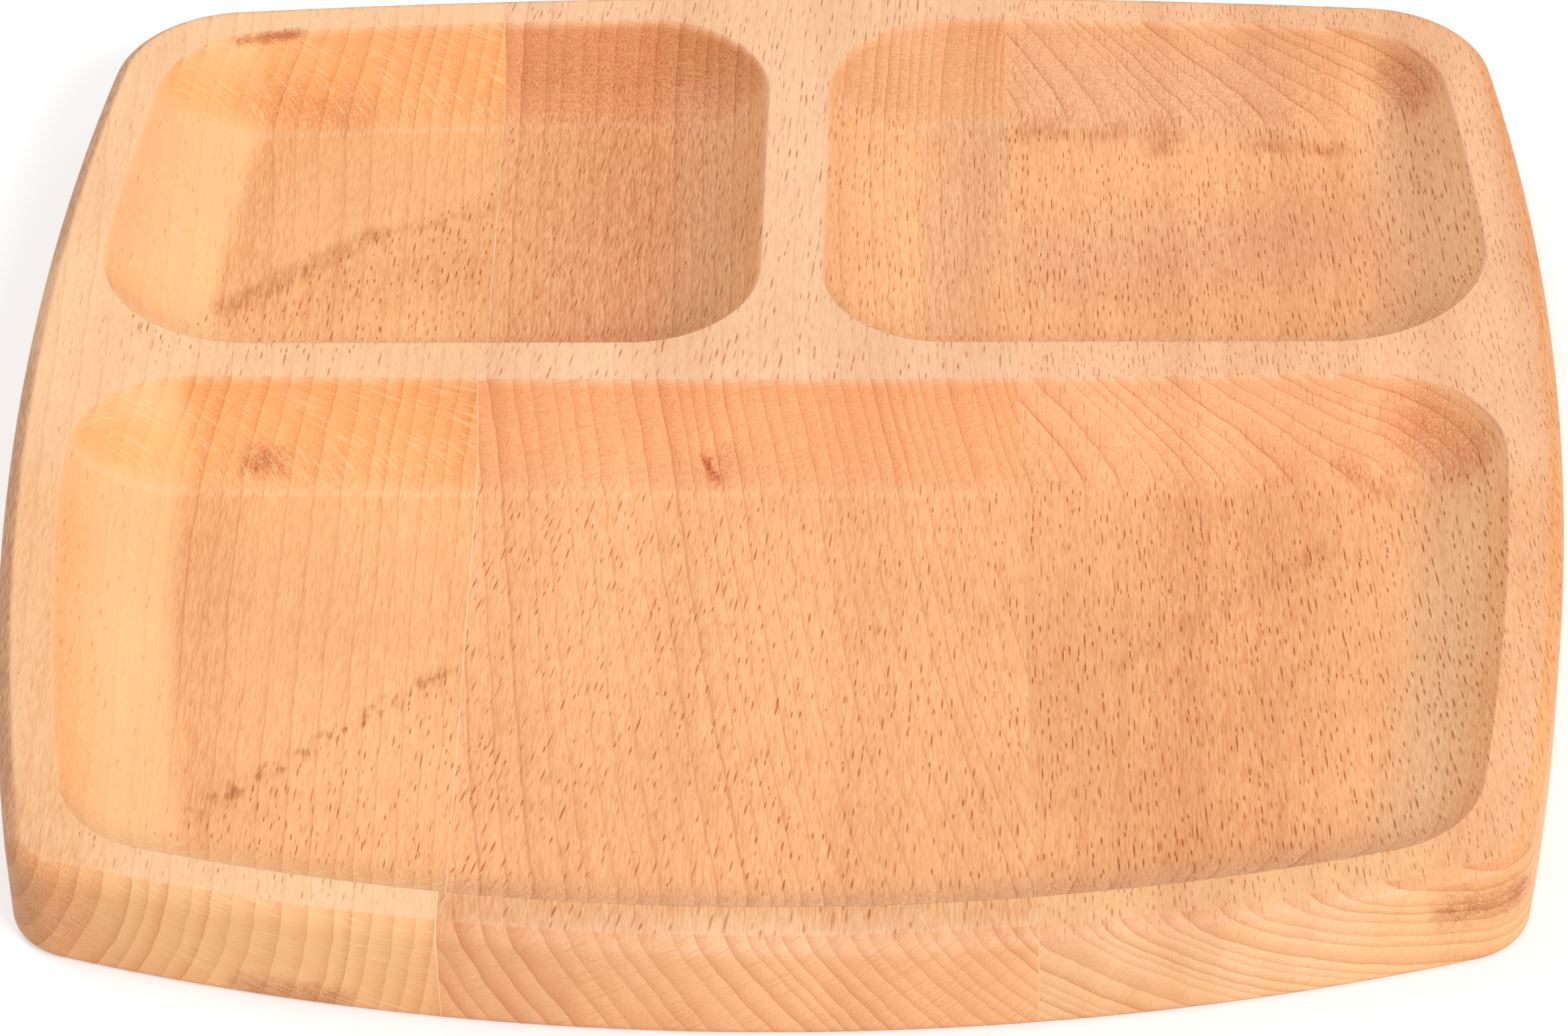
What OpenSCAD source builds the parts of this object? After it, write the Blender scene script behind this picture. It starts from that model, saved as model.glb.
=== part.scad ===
// Divided serving plate of solid beech: three staves glued edge to edge, then cut to a bowed
// outline and hollowed into two small compartments at the back and a wide one in front.
// +Z is up, -Y is the front, and the origin is under the middle of the plate, on the table.

/* [Plate] */
// Width across the widest line
plate_w = 250; // [220:1:300]
// Depth from front to back on the centre line
plate_d = 252; // [230:1:300]
// Thickness of the board
plate_t = 18; // [16:0.5:24]
// Radius of the bowed left and right sides
side_bow_r = 650; // [500:10:1200]
// Radius of the bowed front edge
front_bow_r = 350; // [320:10:800]
// Radius of the nearly straight back edge
back_bow_r = 1200; // [600:10:1600]
// How far the widest line lies behind the middle
widest_y = 20; // [0:1:30]
// Radius of the two front corners
front_corner_r = 12; // [8:0.5:24]
// Radius of the two back corners
back_corner_r = 22; // [10:0.5:30]
// Rounding of the top edge
top_edge_r = 3; // [1:0.25:5]
// Rounding of the bottom edge
bottom_edge_r = 2; // [1:0.25:5]

/* [Compartments] */
// Width of the rim between the outline and the compartments
rim_w = 8.5; // [6:0.25:14]
// Width of the bar between the two back compartments
short_bar_w = 9.5; // [6:0.25:16]
// Width of the bar between the back and front compartments, on the centre line
long_bar_w = 9.75; // [6:0.25:16]
// How far the long bar's middle lies behind the middle of the plate
long_bar_y = 16.5; // [0:0.5:30]
// Radius of the long bar's front edge, which bows a little towards the front
long_bar_bow_r = 4000; // [2500:100:8000]
// Depth of the compartments
pocket_depth = 11; // [8:0.25:12]
// Radius of the coved walls along the left and right sides
side_cove_r = 24; // [14:0.5:30]
// Radius of the other coved walls, at the back, the front and the bars
cove_r = 20; // [14:0.5:26]
// Width of the sanded bevel on the compartments' edges
bevel_w = 0.7; // [0.3:0.1:1.5]
// Height of the sanded bevel on the compartments' edges
bevel_h = 0.6; // [0.3:0.1:1.5]

/* [Corners of the flat floors] */
// Back compartments, outer back corner
floor_outer_back_r = 0.5; // [0.5:0.25:12]
// Back compartments, inner back corner
floor_inner_back_r = 4.5; // [0.5:0.25:12]
// Back compartments, inner front corner
floor_inner_front_r = 3; // [0.5:0.25:12]
// Back compartments, outer front corner
floor_outer_front_r = 8; // [0.5:0.25:12]
// Front compartment, back corners
floor_front_pan_back_r = 0.5; // [0.5:0.25:12]
// Front compartment, front corners
floor_front_pan_front_r = 0.5; // [0.5:0.25:12]

/* [Staves] */
// Where the left glue joint crosses the middle line
left_joint_x = -50; // [-70:0.5:-30]
// Where the right glue joint crosses the middle line
right_joint_x = 38; // [30:0.5:70]
// Turn of the glue joints away from the front-to-back line, in degrees
joint_skew = 1.1; // [0:0.1:3]
// Thickness of the glue films
glue_t = 0.15; // [0.1:0.05:0.3]

/* [Hidden] */

// Overrun of every cut past the faces that it leaves
over = 2;
// Straight steps in each bow, at each corner, and in the edge and wall profiles
bow_steps = 12;
corner_steps = 9;
edge_steps = 4;
cove_steps = 8;

// A bowed edge is [centre, radius], with the radius negative where the edge bows inwards;
// a straight edge is [point, 0, outward direction in degrees]
function bow(centre, r) = [centre, r];
function straight(point, direction) = [point, 0, direction];
function is_bow(edge) = edge[1] != 0;
function drawn_in(edge, inset) = is_bow(edge) ? bow(edge[0], edge[1] - inset)
    : straight(edge[0] - inset * along(edge[2]), edge[2]);
function heading(v) = atan2(v.y, v.x);
function along(direction) = [cos(direction), sin(direction)];

// The outline's four edges, anticlockwise as all edges are
right_side = bow([plate_w / 2 - side_bow_r, widest_y], side_bow_r);
left_side = bow([side_bow_r - plate_w / 2, widest_y], side_bow_r);
back_side = bow([0, plate_d / 2 - back_bow_r], back_bow_r);
front_side = bow([0, front_bow_r - plate_d / 2], front_bow_r);
outline_edges = [right_side, back_side, left_side, front_side];
outline_corner_rs = [back_corner_r, back_corner_r, front_corner_r, front_corner_r];

// A compartment's edges follow the outline at the rim's width, and the bars
rim_right = drawn_in(right_side, rim_w);
rim_left = drawn_in(left_side, rim_w);
rim_back = drawn_in(back_side, rim_w);
rim_front = drawn_in(front_side, rim_w);
short_bar_edge = straight([short_bar_w / 2, 0], 180);
long_bar_back = straight([0, long_bar_y + long_bar_w / 2], -90);
long_bar_front = bow([0, long_bar_y - long_bar_w / 2 + long_bar_bow_r], -long_bar_bow_r);
back_pan_edges = [rim_right, rim_back, short_bar_edge, long_bar_back];
front_pan_edges = [rim_right, long_bar_front, rim_left, rim_front];

// Radius of the coved wall along each of those edges, and of the floor's corner after it
back_pan_coves = [side_cove_r, cove_r, cove_r, cove_r];
front_pan_coves = [side_cove_r, cove_r, side_cove_r, cove_r];
back_pan_floor_rs = [floor_outer_back_r, floor_inner_back_r, floor_inner_front_r, floor_outer_front_r];
front_pan_floor_rs = [floor_front_pan_back_r, floor_front_pan_back_r,
    floor_front_pan_front_r, floor_front_pan_front_r];

// Centre of the corner circle that touches one edge and the next
function corner_centre(a, b, r) =
    is_bow(a) && is_bow(b) ? bows_meet(a[0], a[1] - r, b[0], b[1] - r)
    : is_bow(a) ? bow_meets_line(a[0], a[1] - r, b[0] - r * along(b[2]), along(b[2]), 1)
    : is_bow(b) ? bow_meets_line(b[0], b[1] - r, a[0] - r * along(a[2]), along(a[2]), -1)
    : lines_meet(a, b, r);
function bows_meet(p, pr, q, qr) =
    let (d = norm(q - p), u = (q - p) / d, a = (pr * pr - qr * qr + d * d) / (2 * d))
    p + a * u + sign(pr * qr) * sqrt(pr * pr - a * a) * [-u.y, u.x];
function bow_meets_line(p, pr, point, normal, side) =
    let (d = (point - p) * normal)
    p + d * normal + side * sqrt(pr * pr - d * d) * [normal.y, -normal.x];
function lines_meet(a, b, r) =
    let (na = along(a[2]), nb = along(b[2]), da = a[0] * na - r, db = b[0] * nb - r)
    [da * nb.y - db * na.y, db * na.x - da * nb.x] / (na.x * nb.y - na.y * nb.x);

// Direction from a corner's centre to where its circle touches an edge
function touch(edge, centre) =
    is_bow(edge) ? heading(sign(edge[1]) * (centre - edge[0])) : edge[2];

// The same direction, given as less than half a turn from another
function near(from, to) = from + (to - from + 540) % 360 - 180;

// Points on an arc, from one direction up to another, without the last point
function arc(centre, r, from, to, steps) =
    [for (i = [0:steps - 1]) centre + r * along(from + (to - from) * i / steps)];

// One closed outline inside four edges
function ring(edges, corner_rs) =
    let (centres = [for (i = [0:3]) corner_centre(edges[i], edges[(i + 1) % 4], corner_rs[i])],
        from = [for (i = [0:3]) touch(edges[i], centres[i])],
        to = [for (i = [0:3]) near(from[i], touch(edges[(i + 1) % 4], centres[i]))])
    [for (i = [0:3], p = concat(
        arc(centres[i], corner_rs[i], from[i], to[i], corner_steps),
        edge_points(edges[(i + 1) % 4], to[i], near(to[i], from[(i + 1) % 4]),
            centres[i] + corner_rs[i] * along(to[i])))) p];
function edge_points(edge, from, to, start) =
    is_bow(edge) ? arc(edge[0], edge[1], from, to, bow_steps) : [start];

// The board's outline at every level of its rounded edges, each given as an inset and a height
board_levels = concat(
    [for (i = [0:edge_steps], a = [90 * i / edge_steps])
        [bottom_edge_r * (1 - sin(a)), bottom_edge_r * (1 - cos(a))]],
    [for (i = [0:edge_steps], a = [90 - 90 * i / edge_steps])
        [top_edge_r * (1 - sin(a)), plate_t - top_edge_r * (1 - cos(a))]]);
function outline(inset) =
    ring([for (edge = outline_edges) drawn_in(edge, inset)], [for (r = outline_corner_rs) r - inset]);

// A coved wall: its height, how far it reaches out from the floor at a height, and its whole width
cove_h = pocket_depth - bevel_h;
cove_turn = acos(1 - cove_h / cove_r);
function reach(r, h) = sqrt(2 * r * h - h * h);
function wall_run(r) = reach(r, cove_h) + bevel_w;
function mean_of(values, i) = (values[i] + values[(i + 1) % 4]) / 2;

// A compartment's outline where its walls reach out so far and stop so short of the rim
function pan_ring(edges, floor_rs, reaches, insets) =
    ring([for (i = [0:3]) drawn_in(edges[i], insets[i])],
        [for (i = [0:3]) floor_rs[i] + mean_of(reaches, i)]);
function wall_ring(edges, floor_rs, coves, h) =
    let (reaches = [for (r = coves) reach(r, h)])
    pan_ring(edges, floor_rs, reaches, [for (i = [0:3]) wall_run(coves[i]) - reaches[i]]);
function mouth_ring(edges, floor_rs, coves, flare) =
    pan_ring(edges, floor_rs, [for (r = coves) wall_run(r) + flare], [for (r = coves) -flare]);

// A solid lofted through outlines of as many points, at given heights
module lofted(rings, heights) {
    n = len(rings[0]);
    top = len(rings) - 1;
    points = [for (k = [0:top], p = rings[k]) [p.x, p.y, heights[k]]];
    caps = [[for (i = [0:n - 1]) i], [for (i = [n - 1:-1:0]) top * n + i]];
    walls = [for (k = [0:top - 1], i = [0:n - 1], j = [(i + 1) % n], upper = [true, false])
        upper ? [k * n + j, (k + 1) * n + i, (k + 1) * n + j] : [k * n + j, k * n + i, (k + 1) * n + i]];
    polyhedron(points, concat(caps, walls));
}

// The board in its outline, in layers that are each the hull of two levels
module board() {
    for (k = [0:len(board_levels) - 2], low = [board_levels[k]], high = [board_levels[k + 1]])
        hull() lofted([outline(low[0]), outline(high[0])], [low[1], high[1]]);
}

// What is routed out of the board for a compartment: its coves, then the bevel and on past the top
module pan(edges, floor_rs, coves) {
    floor_z = plate_t - pocket_depth;
    heights = [for (i = [0:cove_steps]) cove_r * (1 - cos(cove_turn * i / cove_steps))];
    lofted(
        concat([for (h = heights) wall_ring(edges, floor_rs, coves, h)],
            [mouth_ring(edges, floor_rs, coves, over * bevel_w / bevel_h)]),
        concat([for (h = heights) floor_z + h], [plate_t + over]));
}
module right_pan() pan(back_pan_edges, back_pan_floor_rs, back_pan_coves);
module left_pan() mirror([1, 0, 0]) right_pan();
module front_pan() pan(front_pan_edges, front_pan_floor_rs, front_pan_coves);

// The slice of the board between two lines that run with the glue joints,
// less the compartments that cross it, which are given as children
module slice(from_x, to_x) {
    intersection() {
        difference() {
            board();
            children();
        }
        rotate([0, 0, joint_skew]) translate([from_x, -plate_d, -over])
            cube([to_x - from_x, 2 * plate_d, plate_t + 2 * over]);
    }
}

module left_stave() {
    color("#e9b482") slice(-plate_w, left_joint_x - glue_t / 2) {
        left_pan();
        front_pan();
    }
}

module middle_stave() {
    color("#dfa06c") slice(left_joint_x + glue_t / 2, right_joint_x - glue_t / 2) {
        left_pan();
        right_pan();
        front_pan();
    }
}

module right_stave() {
    color("#e4aa77") slice(right_joint_x + glue_t / 2, plate_w) {
        right_pan();
        front_pan();
    }
}

module left_glue_line() {
    color("#f0cf9e") slice(left_joint_x - glue_t / 2, left_joint_x + glue_t / 2) {
        left_pan();
        front_pan();
    }
}

module right_glue_line() {
    color("#f0cf9e") slice(right_joint_x - glue_t / 2, right_joint_x + glue_t / 2) {
        right_pan();
        front_pan();
    }
}

left_stave();
middle_stave();
right_stave();
left_glue_line();
right_glue_line();
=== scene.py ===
"""Divided serving plate of solid beech: three staves glued edge to edge, cut to a bowed outline and
hollowed into two small compartments at the back and a wide one in front.

Sizes in the classes are millimetres. The meshes are metres, in the part's own frame: +Z is up, -Y is the
front, and the origin is under the middle of the plate, on the table.
"""

import cmath
import logging
import math
from collections.abc import Sequence
from dataclasses import dataclass, field, replace
from enum import Enum

import bpy
from mathutils import Matrix, Vector


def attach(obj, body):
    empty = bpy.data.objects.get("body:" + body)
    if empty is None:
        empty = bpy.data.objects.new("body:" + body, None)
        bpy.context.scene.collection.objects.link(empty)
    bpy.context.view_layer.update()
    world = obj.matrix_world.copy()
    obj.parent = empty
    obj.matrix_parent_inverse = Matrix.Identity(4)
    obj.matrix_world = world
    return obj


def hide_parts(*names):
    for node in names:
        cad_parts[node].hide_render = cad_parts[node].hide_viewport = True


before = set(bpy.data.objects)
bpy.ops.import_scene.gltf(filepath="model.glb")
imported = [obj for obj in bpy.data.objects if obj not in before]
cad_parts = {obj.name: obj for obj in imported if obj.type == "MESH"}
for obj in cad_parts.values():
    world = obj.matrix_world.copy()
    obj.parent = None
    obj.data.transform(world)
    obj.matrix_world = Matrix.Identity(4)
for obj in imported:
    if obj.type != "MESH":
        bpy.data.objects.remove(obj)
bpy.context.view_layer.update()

MM = 0.001
BODY = "root"
# Radius of an edge that is as good as straight
STRAIGHT_R = 1e6
# How far the routed solids stand out above the board
OVERRUN = 2.0
# Edges that turn by more degrees than this stay sharp
CREASE = 30.0
# A range that starts and ends gently
SOFT: dict[str, object] = {"interpolation_type": "SMOOTHSTEP"}

log = logging.getLogger("plate")

Pair = tuple[float, float]
Point3 = tuple[float, float, float]
Ring = list[complex]
Layer = tuple[bpy.types.Node, str]


class Kind(Enum):
    """The kinds of node that the trees use."""

    MATH = "ShaderNodeMath"
    VECTOR = "ShaderNodeVectorMath"
    RANGE = "ShaderNodeMapRange"
    MIX = "ShaderNodeMix"
    SPLIT = "ShaderNodeSeparateXYZ"
    JOIN = "ShaderNodeCombineXYZ"
    COORDS = "ShaderNodeTexCoord"
    NOISE = "ShaderNodeTexNoise"
    CELLS = "ShaderNodeTexVoronoi"
    CHANCE = "ShaderNodeTexWhiteNoise"
    BUMP = "ShaderNodeBump"
    SURFACE = "ShaderNodeBsdfPrincipled"
    GLOW = "ShaderNodeEmission"
    SUM = "ShaderNodeAddShader"
    RAYS = "ShaderNodeLightPath"
    OUTPUT = "ShaderNodeOutputMaterial"
    GROUP_IN = "NodeGroupInput"
    GROUP_OUT = "NodeGroupOutput"
    OBJECT = "GeometryNodeObjectInfo"
    BOOLEAN = "GeometryNodeMeshBoolean"
    CUBE = "GeometryNodeMeshCube"
    MOVE = "GeometryNodeTransform"
    EDGE_ANGLE = "GeometryNodeInputMeshEdgeAngle"
    COMPARE = "FunctionNodeCompare"
    SMOOTH = "GeometryNodeSetShadeSmooth"
    REALIZE = "GeometryNodeRealizeInstances"
    PAINT = "GeometryNodeSetMaterial"


def add_node(
    tree: bpy.types.NodeTree,
    kind: Kind,
    *inputs: object,
    named: dict[str, object] | None = None,
    **settings: object,
) -> bpy.types.Node:
    """Adds a node with its settings and links.

    Args:
        tree: The tree that gets the node.
        kind: What the node is.
        inputs: A value, a socket or a node for each input in use, in their order; None leaves one alone,
            a list goes into one input that takes several, and a node stands for its first output.
        named: The same for inputs that are given by name.
        settings: The node's own properties.

    Returns:
        The new node.
    """
    made = tree.nodes.new(kind.value)
    for name, value in settings.items():
        setattr(made, name, value)
    in_use = [socket for socket in made.inputs if socket.enabled]
    given = list(zip(in_use, inputs)) + [(made.inputs[name], value) for name, value in (named or {}).items()]
    for socket, value in given:
        for item in value if isinstance(value, list) else [value]:
            if isinstance(item, bpy.types.Node):
                item = next(out for out in item.outputs if out.enabled)
            if isinstance(item, bpy.types.NodeSocket):
                tree.links.new(item, socket)
            elif item is not None:
                socket.default_value = item
    return made


def linear(code: str) -> tuple[float, float, float, float]:
    """Turns an sRGB hex colour into linear light.

    Args:
        code: The colour, such as "#e9b482".

    Returns:
        Red, green, blue and a full alpha.
    """
    values = [int(code[i : i + 2], 16) / 255 for i in (1, 3, 5)]
    red, green, blue = (v / 12.92 if v <= 0.04045 else ((v + 0.055) / 1.055) ** 2.4 for v in values)
    return red, green, blue, 1.0


def placed(name: str, data: bpy.types.ID) -> bpy.types.Object:
    """Puts a new object into the scene.

    Args:
        name: Name of the object.
        data: Its mesh, lamp or camera.

    Returns:
        The object, at the origin.
    """
    made = bpy.data.objects.new(name, data)
    bpy.context.scene.collection.objects.link(made)
    return made


def bare_material(name: str) -> bpy.types.Material:
    """Makes a material with an empty tree.

    Args:
        name: Name of the material.

    Returns:
        The material.
    """
    made = bpy.data.materials.new(name)
    made.use_nodes = True
    made.node_tree.nodes.clear()
    return made


@dataclass(frozen=True)
class PlanEdge:
    """One edge of a plan outline, a bow that outlines go round anticlockwise.

    Attributes:
        centre: Centre of the bow.
        radius: Its radius, negative where the edge bows inwards.
    """

    centre: complex
    radius: float

    def drawn_in(self, inset: float) -> "PlanEdge":
        """Gives the edge that lies so far inside this one."""
        return replace(self, radius=self.radius - inset)

    def meets(self, other: "PlanEdge") -> complex:
        """Finds where this edge runs into the next one.

        Args:
            other: The next edge, anticlockwise.

        Returns:
            The point.
        """
        gap = other.centre - self.centre
        way = gap / abs(gap)
        reach = (self.radius**2 - other.radius**2 + abs(gap) ** 2) / (2 * abs(gap))
        rise = math.copysign(math.sqrt(self.radius**2 - reach**2), self.radius * other.radius)
        return self.centre + way * complex(reach, rise)

    def touched_from(self, centre: complex) -> float:
        """Gives the direction from a corner circle's centre to where it touches this edge."""
        return cmath.phase((centre - self.centre) * math.copysign(1, self.radius))


@dataclass(frozen=True)
class PlanOutline:
    """A closed outline of four edges with rounded corners.

    Attributes:
        edges: The edges, anticlockwise.
        corner_rs: Radius of the corner after each edge.
        bow_steps: Straight steps along each edge.
        corner_steps: Straight steps round each corner.
    """

    edges: tuple[PlanEdge, ...]
    corner_rs: tuple[float, ...]
    bow_steps: int = 48
    corner_steps: int = 22

    def points(self) -> Ring:
        """Draws the outline.

        Returns:
            Its points, anticlockwise, as many at every size.
        """
        nexts = self.edges[1:] + self.edges[:1]
        corners = list(zip(self.edges, nexts, self.corner_rs))
        centres = [a.drawn_in(r).meets(b.drawn_in(r)) for a, b, r in corners]
        starts = [a.touched_from(c) for a, c in zip(self.edges, centres)]
        ends = [
            start + math.remainder(b.touched_from(c) - start, math.tau)
            for b, c, start in zip(nexts, centres, starts)
        ]
        ring: Ring = []
        for i, (_, edge, r) in enumerate(corners):
            ring += arc(centres[i], r, starts[i], ends[i], self.corner_steps)
            onward = ends[i] + math.remainder(starts[(i + 1) % len(starts)] - ends[i], math.tau)
            ring += arc(edge.centre, edge.radius, ends[i], onward, self.bow_steps)
        return ring


def arc(centre: complex, radius: float, start: float, end: float, steps: int) -> Ring:
    """Gives points on an arc without its last point.

    Args:
        centre: Centre of the arc.
        radius: Its radius, negative where it bows inwards.
        start: Direction of its first point, in radians.
        end: Direction of its last point.
        steps: Number of points.

    Returns:
        The points, in order.
    """
    return [centre + radius * cmath.exp(1j * (start + (end - start) * i / steps)) for i in range(steps)]


def lofted(name: str, rings: Sequence[Ring], heights: Sequence[float]) -> bpy.types.Object:
    """Makes a closed solid through outlines of as many points each.

    Args:
        name: Name of the solid.
        rings: The outlines, anticlockwise, from the lowest up.
        heights: Height of each outline.

    Returns:
        The solid, linked to the scene.
    """
    size = len(rings[0])
    last = (len(rings) - 1) * size
    points = [(p.real * MM, p.imag * MM, z * MM) for ring, z in zip(rings, heights) for p in ring]
    faces = [tuple(reversed(range(size))), tuple(range(last, last + size))]
    for base in range(0, last, size):
        for i in range(size):
            j = (i + 1) % size
            faces.append((base + i, base + j, base + size + j, base + size + i))
    mesh = bpy.data.meshes.new(name)
    mesh.from_pydata(points, [], faces)
    return placed(name, mesh)


@dataclass
class Board:
    """The solid board before it is hollowed and parted into staves.

    Attributes:
        width: Width at its widest line.
        depth: Depth along its middle.
        thickness: Its thickness.
        side_bow_r: Radius of the bowed sides, in plan.
        front_bow_r: Radius of the bowed front.
        back_bow_r: Radius of the bowed back.
        widest_y: Where the widest line lies.
        front_corner_r: Radius of the front corners.
        back_corner_r: Radius of the back corners.
        top_edge_r: Rounding of the top edge.
        bottom_edge_r: Rounding of the bottom edge.
        edge_steps: Straight steps round each of these.
    """

    width: float = 250.0
    depth: float = 252.0
    thickness: float = 18.0
    side_bow_r: float = 650.0
    front_bow_r: float = 350.0
    back_bow_r: float = 1200.0
    widest_y: float = 20.0
    front_corner_r: float = 12.0
    back_corner_r: float = 22.0
    top_edge_r: float = 3.0
    bottom_edge_r: float = 2.0
    edge_steps: int = 9

    def sides(self) -> tuple[PlanEdge, PlanEdge, PlanEdge, PlanEdge]:
        """Lays out the edges of the outline.

        Returns:
            The right, back, left and front edges.
        """
        right = PlanEdge(complex(self.width / 2 - self.side_bow_r, self.widest_y), self.side_bow_r)
        back = PlanEdge(complex(0, self.depth / 2 - self.back_bow_r), self.back_bow_r)
        left = PlanEdge(complex(self.side_bow_r - self.width / 2, self.widest_y), self.side_bow_r)
        front = PlanEdge(complex(0, self.front_bow_r - self.depth / 2), self.front_bow_r)
        return right, back, left, front

    def outline(self, inset: float) -> Ring:
        """Draws the outline at one level.

        Args:
            inset: How far it is drawn in.

        Returns:
            Its points, anticlockwise.
        """
        radii = (self.back_corner_r, self.back_corner_r, self.front_corner_r, self.front_corner_r)
        edges = tuple(edge.drawn_in(inset) for edge in self.sides())
        return PlanOutline(edges, tuple(r - inset for r in radii)).points()

    def build(self) -> bpy.types.Object:
        """Makes the board with its rounded top and bottom edges.

        Returns:
            The solid board.
        """
        turns = [math.pi / 2 * i / self.edge_steps for i in range(self.edge_steps + 1)]
        low = [
            (self.bottom_edge_r * (1 - math.sin(a)), self.bottom_edge_r * (1 - math.cos(a)))
            for a in turns
        ]
        high = [
            (self.top_edge_r * (1 - math.sin(a)), self.thickness - self.top_edge_r * (1 - math.cos(a)))
            for a in reversed(turns)
        ]
        levels = low + high
        return lofted("board", [self.outline(inset) for inset, _ in levels], [z for _, z in levels])


@dataclass
class Compartment:
    """A hollow with a flat floor, coved walls and a sanded lip.

    Attributes:
        name: Name of the solid that is routed out.
        board: The board that it is cut into.
        edges: Its edges at the rim, anticlockwise.
        floor_rs: Radius of the floor's corner after each edge.
        cove_rs: Radius of the coved wall along each edge.
        mirrored: True for the compartment that mirrors this one across the middle.
        depth: Depth of the floor below the rim.
        lip_w: Width of the sanded lip.
        lip_h: Its height.
        cove_steps: Straight steps up the wall.
        lip_steps: Straight steps over the lip.
    """

    name: str
    board: Board
    edges: tuple[PlanEdge, ...]
    floor_rs: tuple[float, ...]
    cove_rs: tuple[float, ...]
    mirrored: bool = False
    depth: float = 11.0
    lip_w: float = 0.7
    lip_h: float = 0.6
    cove_steps: int = 26
    lip_steps: int = 5

    def reach(self, radius: float, rise: float) -> float:
        """Gives how far a cove reaches out from the floor at a height above it."""
        return math.sqrt(2 * radius * rise - rise * rise)

    def ring(self, reaches: Sequence[float], insets: Sequence[float]) -> Ring:
        """Gives the outline where the walls reach out so far and stop so short of the rim.

        Args:
            reaches: How far each wall is out from the floor.
            insets: How far each wall is short of the rim.

        Returns:
            The outline, anticlockwise.
        """
        edges = tuple(edge.drawn_in(inset) for edge, inset in zip(self.edges, insets))
        nexts = [*reaches[1:], reaches[0]]
        radii = tuple(r + (a + b) / 2 for r, a, b in zip(self.floor_rs, reaches, nexts))
        ring = PlanOutline(edges, radii).points()
        return [complex(-p.real, p.imag) for p in reversed(ring)] if self.mirrored else ring

    def build(self) -> bpy.types.Object:
        """Makes what is routed out of the board.

        Returns:
            The solid, which stands out above the rim.
        """
        top = self.board.thickness
        cove_h = self.depth - self.lip_h
        runs = [self.reach(r, cove_h) + self.lip_w for r in self.cove_rs]
        turn = math.acos(1 - cove_h / min(self.cove_rs))
        rings, heights = [], []
        for i in range(self.cove_steps + 1):
            rise = min(cove_h, min(self.cove_rs) * (1 - math.cos(turn * i / self.cove_steps)))
            reaches = [self.reach(r, rise) for r in self.cove_rs]
            rings.append(self.ring(reaches, [run - out for run, out in zip(runs, reaches)]))
            heights.append(top - self.depth + rise)
        # The lip rolls over from the cove's slope into the flat rim
        knee = self.lip_w - self.lip_h / math.tan(turn)
        for i in range(1, self.lip_steps + 1):
            t = i / self.lip_steps
            inset = (1 - t) ** 2 * self.lip_w + 2 * t * (1 - t) * knee
            rings.append(self.ring([run - inset for run in runs], [inset] * len(runs)))
            heights.append(top - (1 - t) ** 2 * self.lip_h)
        rings.append(rings[-1])
        heights.append(top + OVERRUN)
        return lofted(self.name, rings, heights)


@dataclass
class Compartments:
    """The rim and the two bars, and the three compartments that they leave.

    Attributes:
        board: The board that they are cut from.
        rim_w: Width of the rim.
        short_bar_w: Width of the bar between the two back compartments.
        long_bar_w: Width of the bar behind the front compartment.
        long_bar_y: Where its middle lies.
        long_bar_bow_r: Radius of its bowed front.
        side_cove_r: Radius of the coved walls along the plate's sides.
        cove_r: Radius of the other coved walls.
        back_floor_rs: Radii of the corners of the back right floor: back right, back left, front left,
            front right.
        front_floor_rs: Radii of the front floor's corners, in the same order.
    """

    board: Board
    rim_w: float = 8.5
    short_bar_w: float = 9.5
    long_bar_w: float = 9.75
    long_bar_y: float = 16.5
    long_bar_bow_r: float = 4000.0
    side_cove_r: float = 24.0
    cove_r: float = 20.0
    back_floor_rs: tuple[float, ...] = (0.5, 4.5, 3.0, 8.0)
    front_floor_rs: tuple[float, ...] = (0.5, 0.5, 0.5, 0.5)

    def build(self) -> list[bpy.types.Object]:
        """Makes what is routed out of the board for all three compartments.

        Returns:
            The left, right and front solids.
        """
        right, back, left, front = (edge.drawn_in(self.rim_w) for edge in self.board.sides())
        short_bar = PlanEdge(complex(self.short_bar_w / 2 + STRAIGHT_R, 0), STRAIGHT_R)
        bar_back_y = self.long_bar_y + self.long_bar_w / 2
        bar_front_y = self.long_bar_y - self.long_bar_w / 2
        bar_back = PlanEdge(complex(0, bar_back_y + STRAIGHT_R), STRAIGHT_R)
        bar_front = PlanEdge(complex(0, bar_front_y + self.long_bar_bow_r), -self.long_bar_bow_r)
        side, other = self.side_cove_r, self.cove_r
        right_pan = Compartment(
            "right_pan",
            self.board,
            (right, back, short_bar, bar_back),
            self.back_floor_rs,
            (side, other, other, other),
        )
        left_pan = replace(right_pan, name="left_pan", mirrored=True)
        front_pan = Compartment(
            "front_pan",
            self.board,
            (right, bar_front, left, front),
            self.front_floor_rs,
            (side, other, side, other),
        )
        return [pan.build() for pan in (left_pan, right_pan, front_pan)]


class Ground(Enum):
    """Where on the board a mark shows."""

    ANYWHERE = "anywhere"
    HOLLOW = "hollow"
    FLOOR = "floor"
    SIDE = "side"


@dataclass(frozen=True)
class Mark:
    """A streak, a spot or a broad change of tone in the wood, or painted shade.

    Attributes:
        start: One end, in mm.
        end: The other end.
        reach: How far from its line it fades out.
        strength: How much of it shows, from 0 to 1.
        tint: What it takes away from the colour.
        ground: Where on the board it shows.
        spots: How far it breaks up into spots, from 0 to 1.
        ragged: How ragged its edge is, from 0 to 1.
    """

    start: Point3
    end: Point3
    reach: float
    strength: float
    tint: str = "#c08d66"
    ground: Ground = Ground.ANYWHERE
    spots: float = 0.0
    ragged: float = 1.0


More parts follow.
